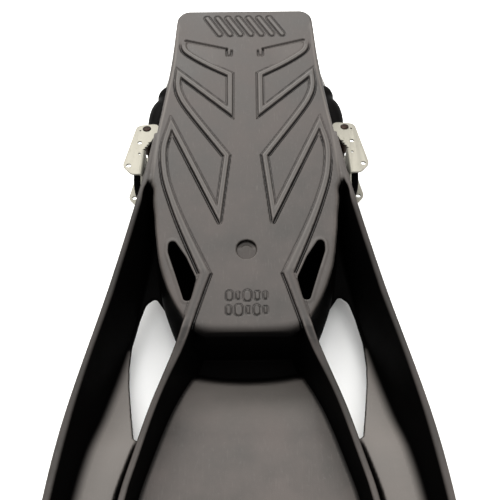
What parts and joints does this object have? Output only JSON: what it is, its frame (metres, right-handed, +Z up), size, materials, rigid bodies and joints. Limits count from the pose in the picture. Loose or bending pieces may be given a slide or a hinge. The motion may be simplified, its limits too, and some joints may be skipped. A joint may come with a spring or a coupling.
{
  "type": "swim fin",
  "caption": "Vented open-heel rubber swim fin with stiffening rails, a ridged sole and a stainless spring heel strap that swings and stretches, shown sole up.",
  "frame": {"origin": "middle of the fin's length and width, on the floor it lies on", "axes": "+X from the heel to the blade tip along the floor, +Y to the wearer's side, +Z up, with the sole facing up"},
  "size_m": [0.7305, 0.2742, 0.1085],
  "materials": {
    "moulded_rubber": "matt moulded black rubber with a faint warm bloom",
    "strap_rubber": "smooth satin black rubber",
    "bracket_steel": "tumbled stainless sheet",
    "pin_steel": "turned stainless",
    "spring_wire": "drawn stainless wire"
  },
  "bodies": {
    "fin": {"sole_plate": "moulded_rubber", "foot_pocket": "moulded_rubber", "outer_rail_left": "moulded_rubber", "outer_rail_right": "moulded_rubber", "inner_rib_left": "moulded_rubber", "inner_rib_right": "moulded_rubber", "side_web_left": "moulded_rubber", "side_web_right": "moulded_rubber", "blade_web": "moulded_rubber", "strap_post_left": "moulded_rubber", "strap_post_right": "moulded_rubber"},
    "strap": {"bracket_left": "bracket_steel", "bracket_right": "bracket_steel", "clevis_pin_left": "pin_steel", "clevis_pin_right": "pin_steel", "pin_clip_left": "pin_steel", "pin_clip_right": "pin_steel", "spring_hook_left": "pin_steel", "spring_hook_right": "pin_steel", "front_sleeve_left": "strap_rubber", "front_sleeve_right": "strap_rubber", "spring_left": "spring_wire", "spring_right": "spring_wire"},
    "heel": {"heel_pad": "strap_rubber", "rear_anchor_left": "pin_steel", "rear_anchor_right": "pin_steel"}
  },
  "joints": [
    {"name": "strap_swing", "type": "hinge", "parent": "fin", "child": "strap", "pos_m": [-0.12844, 0, 0.05092], "axis": [0, 1, 0], "range_deg": [-40, 80]},
    {"name": "heel_stretch", "type": "slide", "parent": "strap", "child": "heel", "axis": [-0.985, 0, -0.1724], "range_m": [0, 0.06], "stiffness_N_per_m": 1400, "springref_m": -0.004, "deforming": ["spring_left", "spring_right"]}
  ]
}
